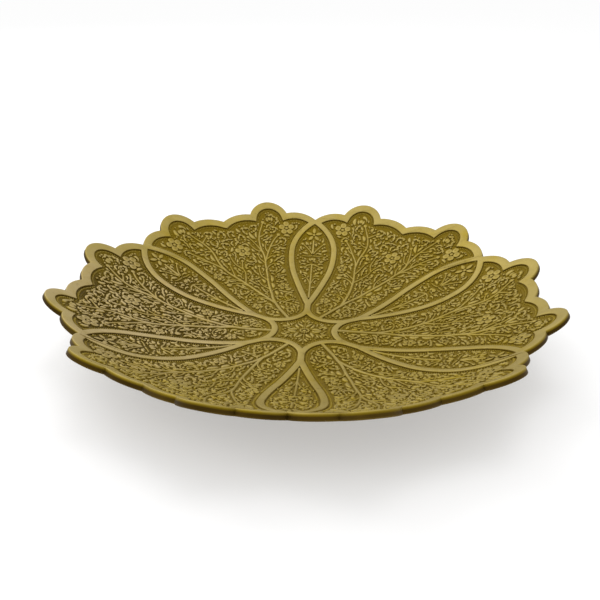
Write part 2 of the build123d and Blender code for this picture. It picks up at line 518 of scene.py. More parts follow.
def spin_casting():
    """Add the middle of the back, spin the profile, stretch it to the edge and press it."""
    rows = casting_profile()
    (land_in, land_out), (wall_in, wall_out) = SEAT_LAND, FOOT_WALL
    back = [(land_out, LAND), (wall_out, LAND), (wall_out, GROOVE), (wall_in, GROOVE)]
    back += [(wall_in, LAND), (land_in, LAND), (land_in, DISH)]
    back += [(r, DISH) for r in np.linspace(land_in, 0, 9)[1:]]
    rows += [(r, -BACK_MARK - kind) for r, kind in back]
    mesh = bpy.data.meshes.new("casting")
    chain = [(i, i + 1) for i in range(len(rows) - 1)]
    mesh.from_pydata([(r, 0, height) for r, height in rows], chain, [])
    blank = new_object("casting", mesh)
    with editing(blank):
        bpy.ops.mesh.spin(steps=EDGE_STEPS, angle=2 * pi, center=(0, 0, 0), axis=(0, 0, 1))
    rows = coordinates(blank)
    x, y, height = rows.T
    radius, angle = np.hypot(x, y), np.arctan2(y, x)
    stretch = (edge_reach(angle) - CORE_RADIUS) / (edge_line.max() - CORE_RADIUS)
    wider = np.where(radius > CORE_RADIUS, CORE_RADIUS + (radius - CORE_RADIUS) * stretch, radius)
    kind = -height - BACK_MARK
    height = np.maximum(height, -BACK_MARK / 10)
    pressed = bowl_point(wider * np.cos(angle), wider * np.sin(angle), height)
    flat_back = bowl_point(x, y, -BASE_THICKNESS)[:, 2]
    back_z = np.where(kind > 0.5, FOOT_HEIGHT + (kind > 1.5) * SEAT_DEPTH, flat_back)
    is_back = kind > -BACK_MARK / 2
    pressed[is_back] = np.column_stack((x, y, back_z))[is_back]
    set_coordinates(blank, pressed)
    tidy_mesh(blank)
    smooth(blank, 35)
    return blank


casting = spin_casting()
print("casting", len(casting.data.polygons), "faces, box", tuple(casting.dimensions))

# %% [markdown]
# The rim and straps
#
# The plain rim and all the straps stand level with each other, so they are one plate with thirteen
# holes, like lace. A flat curve with an extrusion and a bevel is exactly such a plate, with every
# edge rounded as a file and a polishing mop leave it.

# %% Cut the plate
PLATE_THICKNESS = 1.55 * MM  # its lower face is hidden just under the sunk floor
PLATE_BEVEL = 0.42 * MM


def poly_mesh(name, lines, cyclic, **settings):
    """A mesh from a curve of straight steps; each line is a list of (x, y, z, radius)."""
    curve = bpy.data.curves.new(name, "CURVE")
    for key, value in settings.items():
        setattr(curve, key, value)
    for line in lines:
        spline = curve.splines.new("POLY")
        spline.points.add(len(line) - 1)
        for point, (x, y, z, radius) in zip(spline.points, line):
            point.co = (x, y, z, 1)
            point.radius = radius
        spline.use_cyclic_u = cyclic
    choose(new_object(name, curve))
    bpy.ops.object.convert(target="MESH")
    return bpy.context.object


def flat_plate(name, loops, thickness, bevel):
    """A plate cut to closed outlines; its upper face is at height 0."""
    plate = poly_mesh(
        name, [[(x, y, 0, 1) for x, y in loop] for loop in loops], cyclic=True,
        dimensions="2D", fill_mode="BOTH", extrude=thickness / 2 - bevel,
        bevel_depth=bevel, bevel_resolution=2, offset=-bevel,
    )
    rows = coordinates(plate)
    rows[:, 2] -= thickness / 2
    set_coordinates(plate, rows)
    tidy_mesh(plate)
    return plate


SEAM_COVER = 0.04 * MM  # the plate stands this much proud of the casting under it
rim_line = edge_reach(edge_angles) + SEAM_COVER
loops = [np.column_stack((rim_line * np.cos(edge_angles), rim_line * np.sin(edge_angles)))]
loops += [turned(petal_edge, 2 * HALF_PETAL * k - radians(90)) for k in range(PETALS)]
loops += [turned(leaf_edge, 2 * HALF_PETAL * k) for k in range(PETALS)]
loops.append(star_edge)
straps = flat_plate("rim_and_straps", loops, PLATE_THICKNESS, PLATE_BEVEL)
press_into_bowl(straps)
smooth(straps, 50)
print("rim and straps", len(straps.data.polygons), "faces")

# %% [markdown]
# Ornament, one motif at a time
#
# Leaves are brush strokes: a strip of a grid bent along a curved line, with low walls, a round
# shoulder and a flat top that polishing would rub. Buds and petals are discs that are extruded,
# inset and poked. Each has few faces, because there are hundreds of them. Each is modelled once,
# lying flat at the middle and pointing along +Y, and knows the round rooms that it takes up.

# %% Strokes and pads
RELIEF_FOOT = -RECESS - 0.12 * MM  # ornament starts just inside the sunk floor
RELIEF_TOP = -0.1 * MM  # and stays below the straps
ROOM = {}  # for each motif: (x, y, radius) of the round rooms that it takes, in mm


def ahead(angle):
    """One step along +Y, turned left by angle degrees."""
    return -sin(radians(angle)), cos(radians(angle))


def bearing(along):
    """How many degrees a direction is turned left from +Y."""
    return degrees(atan2(along[1], along[0])) - 90


def swept(length, turn, count=7, sway=0.0):
    """A line that starts along +Y and turns right by turn degrees, or sways to and fro."""
    points = [Vector((0, 0))]
    step = length / (count - 1)
    for i in range(count - 1):
        t = (i + 0.5) / (count - 1)
        heading = radians(turn * t + sway * sin(2 * pi * t))
        points.append(points[-1] + step * Vector((sin(heading), cos(heading))))
    return points


def stroke(name, line, widths, top=RELIEF_TOP):
    """A raised leaf along a line, as wide as widths says at each of its points."""
    across = (-1.0, -0.84, -0.45, 0.45, 0.84, 1.0)
    lift = (0.0, 0.66, 1.0, 1.0, 0.66, 0.0)
    last = len(line) - 1
    deselect()
    bpy.ops.mesh.primitive_grid_add(x_subdivisions=5, y_subdivisions=last, size=2)
    made = bpy.context.object
    made.name = name
    rows = []
    for x, y, z in coordinates(made):
        column, station = round((x + 1) / 2 * 5), round((y + 1) / 2 * last)
        ahead = (line[min(station + 1, last)] - line[max(station - 1, 0)]).normalized()
        side = Vector((ahead.y, -ahead.x)) * across[column] * widths[station] / 2
        rise = 0 if station in (0, last) else lift[column] * (top - RELIEF_FOOT)
        rows.append((*((line[station] + side) * MM), RELIEF_FOOT + rise))
    set_coordinates(made, rows)
    with editing(made):
        bpy.ops.mesh.select_all(action="DESELECT")
        bpy.ops.mesh.select_mode(type="EDGE")
        bpy.ops.mesh.select_non_manifold()
        bpy.ops.mesh.edge_face_add()
    ROOM[name] = [(p.x, p.y, w / 2) for p, w in zip(line, widths)]
    return made


def pad(name, outline, shoulder, crown):
    """A raised disc pulled to an outline; a crown below 0 makes it a cup; in mm."""
    deselect()
    bpy.ops.mesh.primitive_circle_add(vertices=len(outline), radius=MM, fill_type="NGON")
    made = bpy.context.object
    made.name = name
    set_coordinates(made, [(x * MM, y * MM, RELIEF_FOOT) for x, y in outline])
    if made.data.polygons[0].normal.z < 0:
        made.data.flip_normals()
    rise = RELIEF_TOP - RELIEF_FOOT
    with editing(made):
        bpy.ops.mesh.extrude_region_move(TRANSFORM_OT_translate={"value": (0, 0, 0.7 * rise)})
        bpy.ops.mesh.inset(thickness=shoulder * MM, depth=0.3 * rise - max(crown, 0) * MM)
        bpy.ops.mesh.poke(offset=crown * MM)
        bpy.ops.mesh.select_all(action="SELECT")
        bpy.ops.mesh.normals_make_consistent(inside=False)
    spots = np.array(outline)
    middle = spots.mean(0)
    ROOM[name] = [(middle[0], middle[1], np.hypot(*(spots - middle).T).max())]
    return made


def petal_points(length, width, sharp, count=12):
    """Corners of a petal from its stalk at the origin to its tip."""
    points = []
    for i in range(count):
        t = 2 * pi * i / count
        along = (1 - cos(t)) / 2
        points.append((width / 2 * copysign(abs(sin(t)) ** sharp, sin(t)), length * along))
    return points


def round_points(radius, count):
    turns = [2 * pi * i / count for i in range(count)]
    return [(radius * cos(turn), radius * sin(turn)) for turn in turns]


def placed(name, u, v, angle=0.0, size=1.0, flip=False):
    """The rooms of a motif where it is to be set down."""
    c, s = cos(radians(angle)), sin(radians(angle))
    for x, y, radius in ROOM[name]:
        x, y = (-x if flip else x) * size, y * size
        yield u + x * c - y * s, v + x * s + y * c, radius * size


def set_down(motif, u, v, angle=0.0, size=1.0, flip=False, sink=0.0):
    """A copy of a motif with its own mesh: its stalk at (u, v) mm, turned left by angle.

    It may be sunk a few hundredths of a mm, so that no two flat tops lie in one plane.
    """
    copy = new_object(motif.name, motif.data.copy())
    grow = Matrix.Diagonal((-size if flip else size, size, 1, 1))
    turn = Matrix.Rotation(radians(angle), 4, "Z")
    copy.data.transform(Matrix.Translation((u * MM, v * MM, -sink * MM)) @ turn @ grow)
    if flip:
        copy.data.flip_normals()
    return copy


def merged(name, things):
    """Join things into one object."""
    deselect()
    for thing in things:
        thing.select_set(True)
    bpy.context.view_layer.objects.active = things[0]
    if len(things) > 1:
        bpy.ops.object.join()
    whole = bpy.context.object
    whole.name = name
    return whole


def bunch(name, pieces):
    """One motif made of others: each is (motif, u, v, angle, size, flip), or the first few."""
    ROOM[name] = [room for piece in pieces for room in placed(piece[0].name, *piece[1:])]
    return merged(name, [set_down(*p, sink=0.013 * i) for i, p in enumerate(pieces, 1)])


def sprig(name, length, turn, leaf, size, forks):
    """A curling twig with leaves on alternate sides and a bud on its end."""
    line = swept(length, turn, 10)
    twig = stroke(name + "_twig", line, [0.5] + [1.05] * 8 + [0.6])
    pieces = [(twig, 0, 0)]
    for count, i in enumerate(forks):
        side = 1 if count % 2 else -1
        angle = bearing(line[i + 1] - line[i]) + 48 * side
        pieces.append((leaf, line[i].x, line[i].y, angle, size, side < 0))
    pieces.append((bud, line[-1].x, line[-1].y, 0, 0.85))
    motif = bunch(name, pieces)
    bpy.data.objects.remove(twig)
    return motif


# %% Motifs
bud = pad("bud", round_points(1.25, 10), shoulder=0.5, crown=0.18)
small_bud = pad("small_bud", round_points(0.7, 8), shoulder=0.28, crown=0.12)
cup_petal = pad("cup_petal", petal_points(4.3, 4.25, 0.72), shoulder=0.6, crown=-0.5)
point_petal = pad("point_petal", petal_points(5.2, 2.6, 1.4, 10), shoulder=0.45, crown=0.2)
blade = stroke("blade", swept(4.6, 35), [0.4, 1.3, 1.9, 2.1, 1.7, 1.0, 0.25])
long_blade = stroke("long_blade", swept(7.6, 55, 8), [0.4, 1.3, 2.1, 2.5, 2.3, 1.8, 1.0, 0.25])
curl = stroke("curl", swept(5.0, 85), [0.4, 1.4, 2.2, 2.4, 2.0, 1.3, 0.25])
comma = stroke("comma", swept(5.2, 120), [0.3, 0.8, 1.0, 1.3, 1.9, 2.0, 0.8])
hook = stroke("hook", swept(7.4, 215, 9), [0.3, 0.9, 1.1, 1.1, 1.1, 1.2, 1.6, 1.7, 0.6])
wave = stroke("wave", swept(6.6, 25, 8, 50), [0.3, 1.2, 1.6, 1.5, 1.4, 1.3, 0.9, 0.2])
speck = stroke("speck", swept(2.2, 25, 4), [0.3, 1.0, 0.9, 0.2], top=-0.35 * MM)
tick = stroke("tick", swept(2.2, 0, 3), [0.55, 0.75, 0.4], top=-0.4 * MM)
low_tick = stroke("low_tick", swept(1.0, 0, 3), [0.25, 0.36, 0.2], top=-0.7 * MM)


def ring_of(petal, count, centre_size, gap):
    """Petals round a centre bud, their stalks gap mm out, the first pointing along +Y."""
    pieces = [(bud, 0, 0, 0, centre_size)]
    for i in range(count):
        turn = 360 / count * i
        x, y = ahead(turn)
        pieces.append((petal, gap * x, gap * y, turn))
    return pieces


flower = bunch("flower", ring_of(cup_petal, 5, 0.85, 1.5))
star_flower = bunch("star_flower", ring_of(point_petal, 5, 0.8, 1.25))
spray = bunch("spray", [
    (long_blade, 0, 0, 8, 1.15),
    (comma, 0.9, 1.0, -52, 1.0),
    (comma, 1.5, 3.6, -42, 0.9),
    (blade, -0.9, 1.6, 42, 1.0, True),
])
rosebud = bunch("rosebud", [
    (bud, 0, 2.6, 0, 1.1),
    (curl, -0.7, 0.2, 55, 0.85),
    (curl, 0.7, 0.2, -55, 0.85, True),
])
trefoil = bunch("trefoil", [
    (long_blade, 0, 0.3, -6, 0.72),
    (curl, 0.7, 0.8, -58, 0.72, True),
    (curl, -0.7, 0.8, 58, 0.72),
    (small_bud, 0, -0.6, 0, 0.9),
])
leafy = sprig("leafy", 8.5, 75, curl, 0.72, (2, 4, 6))
curly = sprig("curly", 10.5, 190, comma, 0.78, (2, 4, 5, 7))
scroll = sprig("scroll", 14.5, 285, curl, 0.8, (2, 4, 6))
ferny = sprig("ferny", 9.5, 30, comma, 0.68, (1, 3, 4, 6, 7))
motifs = [trefoil, leafy, curly, scroll, ferny]
motifs += [bud, small_bud, cup_petal, point_petal, blade, long_blade, curl, comma, hook, wave]
motifs += [speck, tick, low_tick, flower, star_flower, spray, rosebud]
print("motif faces", {m.name: len(m.data.polygons) for m in motifs})

# %% [markdown]
# Stems and ground
#
# A stem is a line through a few chosen points. It becomes a tube that tapers to its end, half sunk
# in the floor and rubbed flat on top. The panel keeps a fine grid of how much room is left round
# each spot, so leaves go down only where they fit, and of how the nearest stem runs, so they lean
# away from it as if they grew there.

# %% Stems and panels
def smooth_line(points, step=0.9):
    """Points about step mm apart on a smooth curve through the given points."""
    knots = [Vector(p) for p in points]
    knots = [2 * knots[0] - knots[1]] + knots + [2 * knots[-1] - knots[-2]]
    line = []
    for a, b, c, d in zip(knots, knots[1:], knots[2:], knots[3:]):
        count = max(2, int((c - b).length / step))
        for i in range(count):
            t = i / count
            bend = (2 * a - 5 * b + 4 * c - d) * t**2 + (3 * b - a - 3 * c + d) * t**3
            line.append(0.5 * (2 * b + (c - a) * t + bend))
    return line + [Vector(points[-1])]


def tubes(name, lines):
    """Stems as tapering tubes: each line is (points, width at its root, width at its end)."""
    axis = -RECESS + 0.15 * MM
    rods = []
    for line, root, end in lines:
        last = len(line) - 1
        widths = [root + (end - root) * i / last for i in range(last + 1)]
        rods.append([(u * MM, v * MM, axis, w / 2) for (u, v), w in zip(line, widths)])
    stems = poly_mesh(
        name, rods, cyclic=False,
        dimensions="3D", bevel_depth=MM, bevel_resolution=2, use_fill_caps=True,
    )
    rows = coordinates(stems)
    rows[:, 2] = np.clip(rows[:, 2], RELIEF_FOOT, RELIEF_TOP)
    set_coordinates(stems, rows)
    return stems


class Panel:
    """The ornament of one panel while it is laid out, in mm, and the room that is left."""

    CELL = 0.35
    FAR = 99.0
    LARGEST_ROOM = 9

    def __init__(self, outline):
        edge = np.asarray(outline) / MM
        self.low = edge.min(0) - 1
        u = np.arange(self.low[0], edge[:, 0].max() + 1, self.CELL)
        v = np.arange(self.low[1], edge[:, 1].max() + 1, self.CELL)
        self.u, self.v = np.meshgrid(u, v)
        gap = np.full(self.u.shape, self.FAR)
        odd = np.zeros(self.u.shape, bool)
        for (x, y), (nx, ny) in zip(edge, np.roll(edge, -1, 0)):
            gap = np.minimum(gap, np.hypot(self.u - x, self.v - y))
            if y != ny:
                crossing = x + (self.v - y) / (ny - y) * (nx - x)
                odd ^= ((y > self.v) != (ny > self.v)) & (self.u < crossing)
        self.free = np.where(odd, gap, -gap)
        self.edge = edge
        self.parts, self.stems = [], []
        self.near = np.full(self.u.shape, self.FAR)
        self.heading = np.zeros(self.u.shape)
        self.side = np.ones(self.u.shape)

    def cell(self, u, v):
        column = int(round((u - self.low[0]) / self.CELL))
        row = int(round((v - self.low[1]) / self.CELL))
        rows, columns = self.free.shape
        return min(max(row, 0), rows - 1), min(max(column, 0), columns - 1)

    def take(self, u, v, radius):
        """Note that a round room is taken."""
        row, column = self.cell(u, v)
        reach = int(self.LARGEST_ROOM / self.CELL)
        part = np.s_[max(row - reach, 0) : row + reach, max(column - reach, 0) : column + reach]
        away = np.hypot(self.u[part] - u, self.v[part] - v) - radius
        self.free[part] = np.minimum(self.free[part], away)

    def add(self, motif, u, v, angle=0.0, size=1.0, flip=False):
        """Set a motif down without asking for room."""
        sink = 0.004 * (1 + len(self.parts) % 11)
        self.parts.append(set_down(motif, u, v, angle, size, flip, sink))
        for x, y, radius in placed(motif.name, u, v, angle, size, flip):
            self.take(x, y, radius)

    def fit(self, motif, u, v, angle=0.0, size=1.0, flip=False, skip=0, gap=0.05):
        """Set a motif down only if it has room; its first few rooms may touch a stem."""
        for x, y, radius in list(placed(motif.name, u, v, angle, size, flip))[skip:]:
            if self.free[self.cell(x, y)] < radius + gap:
                return False
        self.add(motif, u, v, angle, size, flip)
        return True

    def stem(self, points, root=1.6, end=1.1, tip=None, tip_size=1.0):
        """Lay a stem, and a motif on its end."""
        line = smooth_line(points)
        self.stems.append((line, root, end))
        for here, after in zip(line, line[1:] + [2 * line[-1] - line[-2]]):
            self.take(here.x, here.y, 0.45 * root)
            along = after - here
            away = np.hypot(self.u - here.x, self.v - here.y)
            closer = away < self.near
            self.near[closer] = away[closer]
            self.heading[closer] = bearing(along)
            cross = along.x * (self.v - here.y) - along.y * (self.u - here.x)
            self.side[closer] = np.where(cross > 0, 1, -1)[closer]
        if tip:
            self.add(tip, line[-1].x, line[-1].y, bearing(along), tip_size)
        return line

    def dress(self, line, motif, first, gap, lean=40, size=1.0):
        """Leaves along a stem, on alternate sides, where they fit."""
        for count, i in enumerate(range(first, len(line) - 2, gap)):
            side = 1 if count % 2 else -1
            angle = bearing(line[i + 1] - line[i]) + side * lean
            self.fit(motif, line[i].x, line[i].y, angle, size, side < 0, skip=2)

    def comb(self, gap=1.35, inset=0.3):
        """Short ticks square to the panel's edge, all the way round, where they fit."""
        loop = np.vstack((self.edge, self.edge[:1]))
        steps = np.hypot(*np.diff(loop, axis=0).T)
        walked = np.concatenate(([0], np.cumsum(steps)))
        for s in np.arange(0, walked[-1], gap):
            i = min(np.searchsorted(walked, s, "right") - 1, len(steps) - 1)
            along = (loop[i + 1] - loop[i]) / steps[i]
            u, v = loop[i] + along * (s - walked[i])
            inward = np.array((-along[1], along[0]))
            if self.free[self.cell(*(np.array((u, v)) + 2 * inward))] < 0:
                inward = -inward
            u, v = np.array((u, v)) + inset * inward
            self.fit(tick, u, v, bearing(inward), skip=1, gap=0.1)

    def fill(self, choices, seed, lean):
        """Fill the ground that is left: biggest pieces first, leaning away from the stems."""
        rng = np.random.default_rng(seed)
        counts = []
        for motif, size, tries in choices:
            before = len(self.parts)
            spots = np.argwhere(self.free > 0.75)
            for row, column in spots[rng.integers(0, len(spots), tries)]:
                side = self.side[row, column]
                angle = self.heading[row, column] + side * rng.uniform(*lean)
                flip = (side < 0) != (rng.random() < 0.25)
                u, v = self.u[row, column], self.v[row, column]
                self.fit(motif, u, v, angle, size * rng.uniform(0.92, 1.08), flip)
            counts.append((motif.name, len(self.parts) - before))
        print("filled with", counts)

    def hatch(self, across=0.95, along=1.35):
        """Rows of low ticks on what ground is left, square to the nearest stem."""
        before = len(self.parts)
        low, high = self.edge.min(0), self.edge.max(0)
        for row, v in enumerate(np.arange(low[1], high[1], across)):
            for u in np.arange(low[0] + (row % 2) * along / 2, high[0], along):
                spot = self.cell(u, v)
                if self.free[spot] > 0.3:
                    angle = self.heading[spot] + 90
                    lean = Vector(ahead(angle)) * 0.5
                    self.fit(low_tick, u - lean.x, v - lean.y, angle, skip=1)
        print("hatched with", len(self.parts) - before, "ticks")

    def finish(self, name, choices, seed, lean=(25, 75)):
        """Comb the edge, fill and hatch the ground, and join all into one flat piece."""
        self.comb()
        self.fill(choices, seed, lean)
        self.hatch()
        whole = merged(name, self.parts + [tubes(name, self.stems)])
        print(name, len(whole.data.polygons), "faces")
        return whole


# %% [markdown]
# A petal's vine
#
# One vine fills a petal. Its trunk starts at the round end, leans right, and forks into limbs that
# run out to the two large lobes. Flowers sit beside the notches and in the middle, buds end the
# side stems, sprays hug the outer sides, and small leaves fill whatever ground is left.

# %% Lay out a petal
def petal_vine(seed):
    """The ornament of one petal, flat, pointing along +Y."""
    panel = Panel(petal_edge)
    for u, v, turn, size in [
        (45.0, 121.4, -20, 1.05), (-45.0, 121.4, 20, 1.05), (4.0, 110.5, 0, 1.03),
        (-24.5, 87.0, 30, 0.72), (-12.8, 45.0, 10, 0.68), (15.8, 64.4, -10, 0.76),
    ]:
        panel.add(flower, u, v, turn, size)
    trunk = panel.stem(
        [(-1.6, 20.3), (-0.7, 36), (0.3, 44), (1.4, 51), (3.8, 58.7), (7.2, 71), (10.2, 79.5),
         (12.9, 87.6), (15.6, 95.1), (20.6, 102.5), (25.2, 108.5), (31, 114.3), (36.5, 118)],
        2.6, 1.3, bud, 1.1,
    )
    upper_right = panel.stem(
        [(15.9, 95.5), (17.6, 102.5), (18.3, 110), (20.2, 117.7), (23.4, 124), (27.3, 129.3),
         (29.6, 132.4)],
        1.9, 1.3, bud, 1.15,
    )
    inner_right = panel.stem(
        [(17.8, 104.5), (17.0, 110.5), (15.2, 117.5), (13.2, 122.6)], 1.6, 1.1, bud, 0.9
    )
    left = panel.stem(
        [(0.3, 44.5), (-2.2, 56), (-5.4, 67.1), (-9.4, 78), (-14.4, 88), (-18.6, 96.5),
         (-24.7, 103), (-31, 109), (-37, 113.6)],
        2.3, 1.3, bud, 1.1,
    )
    upper_left = panel.stem(
        [(-16.3, 92), (-18.3, 101), (-18.6, 109), (-19.6, 115.5), (-23, 122), (-27.6, 127.6),
         (-30.8, 131.6)],
        1.9, 1.3, bud, 1.1,
    )
    big_curl = panel.stem(
        [(-5.2, 66.5), (-6.8, 71.4), (-10.8, 75.8), (-16.6, 77.8), (-20.6, 76.2)],
        1.7, 1.1, bud, 1.5,
    )
    middle = panel.stem(
        [(-8.4, 75.5), (-5.6, 82), (-3.6, 88), (-3.2, 94), (-0.6, 100.5)], 1.5, 1.1, bud, 0.85
    )
    for points, size in [
        ([(-0.6, 48.5), (-2.6, 53), (-6.4, 56.2), (-11, 56.6), (-14.2, 54.4)], 1.0),
        ([(3.8, 58.7), (6.4, 62.2), (9.6, 63.2)], 0.7),
        ([(12.2, 85.5), (15.4, 89.8), (19.6, 91.6), (23.4, 90)], 1.1),
        ([(17.3, 97.8), (22.6, 99.8), (27.6, 99.2)], 1.0),
        ([(21.8, 103.8), (21.6, 109), (24.8, 114.4)], 1.1),
        ([(26, 109.3), (31.4, 109.4), (35.4, 111.2)], 1.0),
        ([(21.4, 120.4), (25.4, 121.4), (28.4, 122.8)], 1.0),
        ([(17.9, 107), (14.6, 108.6), (12.4, 113.4), (11.4, 117)], 1.0),
        ([(15, 94.2), (13.2, 99.4), (13.6, 104.4)], 1.1),
        ([(-18.5, 104), (-15.6, 106.2), (-14.9, 106.6)], 1.15),
        ([(-12.6, 84.6), (-11.8, 92), (-11.4, 99.4)], 1.1),
        ([(-3.4, 92), (-6.8, 98), (-7.6, 104), (-7.4, 108.2)], 1.0),
        ([(-25.4, 103.8), (-29, 105), (-32, 107.6)], 1.0),
        ([(-19.2, 113.6), (-23, 114.2), (-26.6, 115.8)], 1.0),
        ([(-23.4, 122.4), (-19.8, 126.4), (-17.6, 128.6)], 1.0),
        ([(-9.8, 79), (-15, 81.8), (-18.4, 83.2)], 0.7),
        ([(-0.9, 33), (-3.4, 36.2)], 1.0),
        ([(5.2, 64.2), (2.2, 70), (1.8, 76)], 1.0),
        ([(8.4, 75), (6.4, 81), (7.2, 87), (9, 92)], 1.0),
        ([(-2.6, 57.8), (-5, 60.4), (-7.8, 61.2)], 0.9),
    ]:
        panel.stem(points, 1.5, 1.0, bud, 0.95 * size)
    panel.comb()
    for side in (1, -1):
        panel.fit(rosebud, side * 35.0, 131.0, -side * 14, 1.1, side < 0)
        for u, v, lean, size in [
            (11.0, 31.0, 28, 0.9), (17.0, 50.0, 18, 0.95), (21.0, 74.0, 12, 1.0),
            (26.5, 80.0, 30, 1.05), (29.5, 92.0, 34, 1.05), (35.0, 101.5, 42, 1.05),
        ]:
            panel.fit(spray, side * u, v, -side * lean, size, side < 0)
    for line in (trunk, left):
        panel.dress(line, scroll, 6, 9, 38, 0.9)
        panel.dress(line, curly, 5, 5, 40, 0.9)
        panel.dress(line, leafy, 4, 3, 38, 0.85)
        panel.dress(line, curl, 4, 3, 35)
    for line in (upper_left, upper_right, big_curl, middle, inner_right):
        panel.dress(line, curly, 4, 5, 35, 0.8)
        panel.dress(line, comma, 3, 3, 30, 0.9)
    return panel.finish(
        "petal_vine",
        [(scroll, 0.95, 500), (ferny, 1.0, 500), (curly, 0.95, 700), (leafy, 0.95, 700),
         (trefoil, 1.25, 800), (trefoil, 1.05, 800), (curly, 0.8, 500), (hook, 1.0, 100),
         (long_blade, 1.2, 700), (curl, 1.45, 900), (wave, 1.15, 700),
         (comma, 1.35, 900), (curl, 1.2, 900), (long_blade, 1.0, 600), (comma, 1.1, 900),
         (curl, 0.95, 900), (blade, 1.0, 900), (comma, 0.8, 700), (small_bud, 1.1, 150),
         (blade, 0.75, 700), (speck, 1.1, 600)],
        seed,
    )


def place_round(flat, name, count, first_turn):
    """Copies of a flat ornament round the dish, each its own mesh, pressed into the bowl."""
    made = []
    for k in range(count):
        copy = new_object(f"{name}_{k + 1}", flat.data.copy())
        copy.data.transform(Matrix.Rotation(first_turn + 2 * pi * k / count, 4, "Z"))
        press_into_bowl(copy)
        smooth(copy, 60)
        made.append(copy)
    bpy.data.objects.remove(flat)
    return made


vines = place_round(petal_vine(seed=7), "petal_vine", PETALS, -radians(90))

# %% [markdown]
# The leaf panels
#
# A pointed star flower stands at the outer end on a straight stem. Below it come two budded sprigs,
# a small lily, a bracket of curled leaves, and a long stem with pairs of leaves down to the neck.

# %% Lay out a leaf panel
def leaf_spray(seed):
    """The ornament of one leaf panel, flat, pointing along +Y; its two sides mirror each other."""
    panel = Panel(leaf_edge)
    panel.add(star_flower, 0, 123.0)
    panel.stem([(0, 117.5), (0, 112), (0, 104.5)], 1.6, 1.9)
    panel.add(rosebud, 0, 95.4, 0, 0.95)
    panel.stem([(0, 91.5), (0, 80), (0, 66), (0, 49)], 1.5, 1.7)
    for side in (1, -1):
        flip = side < 0
        panel.stem(
            [(0.3 * side, 103.5), (2.6 * side, 107.5), (5.6 * side, 111.4), (8.2 * side, 113.8)],
            1.4, 1.1, bud, 0.85,
        )
        panel.add(small_bud, 7.2 * side, 109.4, size=1.25)
        panel.add(small_bud, 5.2 * side, 106.6, size=1.2)
        panel.stem([(0.4 * side, 101.6), (4.4 * side, 101.2), (7.4 * side, 101.6)], 1.2, 1.0)
        for u, v in [(9.0, 103.2), (10.9, 101.4), (8.8, 99.4), (11.2, 98.0)]:
            panel.add(small_bud, side * u, v, size=1.2)
        panel.add(comma, 8.6 * side, 90.8, side * 20, 1.0, not flip)
        panel.stem(
            [(0, 92.0), (2.6 * side, 91.2), (5.2 * side, 89.0), (7.6 * side, 88.2)],
            1.5, 1.2, bud, 0.9,
        )
        panel.add(curl, 2.6 * side, 79.6, -side * 18, 1.05, flip)
        panel.add(blade, 7.4 * side, 80.0, side * 6, 1.1, flip)
        panel.stem(
            [(0.2 * side, 68.0), (1.6 * side, 73.0), (3.6 * side, 76.2), (5.6 * side, 74.4)],
            1.3, 1.0, small_bud, 1.3,
        )
        panel.fit(curl, side * 0.7, 62.5, -side * 28, 0.8, flip, skip=2)
        panel.fit(speck, side * 0.8, 59.4, -side * 40, 1.1, flip, skip=1)
    return panel.finish(
        "leaf_spray",
        [(trefoil, 0.9, 500), (curl, 1.2, 500), (comma, 1.1, 500), (wave, 0.85, 400),
         (curl, 0.95, 500), (blade, 0.9, 500), (comma, 0.75, 400), (blade, 0.7, 400),
         (speck, 1.1, 300)],
        seed,
    )


sprays = place_round(leaf_spray(seed=3), "leaf_spray", PETALS, 0.0)

# %% [markdown]
# The star in the middle
#
# A ringed boss sits in the middle. A lotus bud points to each leaf panel, and a fan of strokes
# fills the wide space in front of each petal.

# %% Lay out the star
def star_rosette(seed):
    """The ornament of the star panel, flat."""
    panel = Panel(star_edge)
    panel.add(bud, 0, 0, size=1.0)
    for k in range(12):
        turn = 30.0 * k
        x, y = ahead(turn)
        panel.add(cup_petal, 1.9 * x, 1.9 * y, turn, 0.36)
    for k in range(PETALS):
        turn = 30.0 + 60.0 * k
        x, y = cos(radians(turn)), sin(radians(turn))
        panel.stem([(4.2 * x, 4.2 * y), (11 * x, 11 * y), (17 * x, 17 * y)], 0.9, 0.8)
        for sign in (1, -1):
            for leaf, out, off, size in [(long_blade, 4.4, 0.9, 0.95), (blade, 11.4, 0.6, 1.0)]:
                across = off * sign
                u, v = out * x - across * y, out * y + across * x
                panel.add(leaf, u, v, turn - 90 + 14 * sign, size, sign > 0)
        panel.add(small_bud, 17.6 * x, 17.6 * y, 0, 1.1)
        fan = turn + 30
        for lean, reach, size in [(0, 4.6, 1.35), (15, 5.0, 1.2), (-15, 5.0, 1.2)]:
            a = radians(fan + lean)
            panel.fit(blade, reach * cos(a), reach * sin(a), fan + lean - 90, size, lean < 0)
        for lean in (9, -9):
            a = radians(fan + lean)
            panel.fit(small_bud, 12.4 * cos(a), 12.4 * sin(a))
    return panel.finish(
        "star_rosette",
        [(curl, 1.0, 400), (comma, 0.9, 400), (blade, 0.9, 400), (curl, 0.75, 400),
         (blade, 0.7, 400), (speck, 1.1, 300)],
        seed, lean=(10, 60),
    )


rosette = place_round(star_rosette(seed=5), "star_rosette", 1, 0.0)

# %% [markdown]
# Antique brass
#
# Old brass is a brown-green olive where it is never rubbed and a dull gold where it is. Height is
# what decides: the sunk floor is darkest, the sides of the relief are in between, and the tops of
# straps, rim and leaves are rubbed pale. That is wear and patina, and partly painted light: painted
# shade in the hollows and a painted highlight on the tops. Cloudy stains and fine grain break it
# up.
# One older and darker stain lies on the left, where the tops carry a paler painted highlight; the
# edge wall is brown, and the back has faint turning lines.

# %% Brass materials
def height_over_straps(finish):
    """How far a point stands over the top of the straps, square to the wall, and its radius."""
    x, y, z = finish.place_parts()
    radius = (x * x + y * y).root()
    run = (radius - FLAT_RADIUS).at_least(0.0)
    drop = STRAP_LEVEL + BOWL_ARC - z
    return BOWL_ARC - (run * run + drop * drop).root(), radius
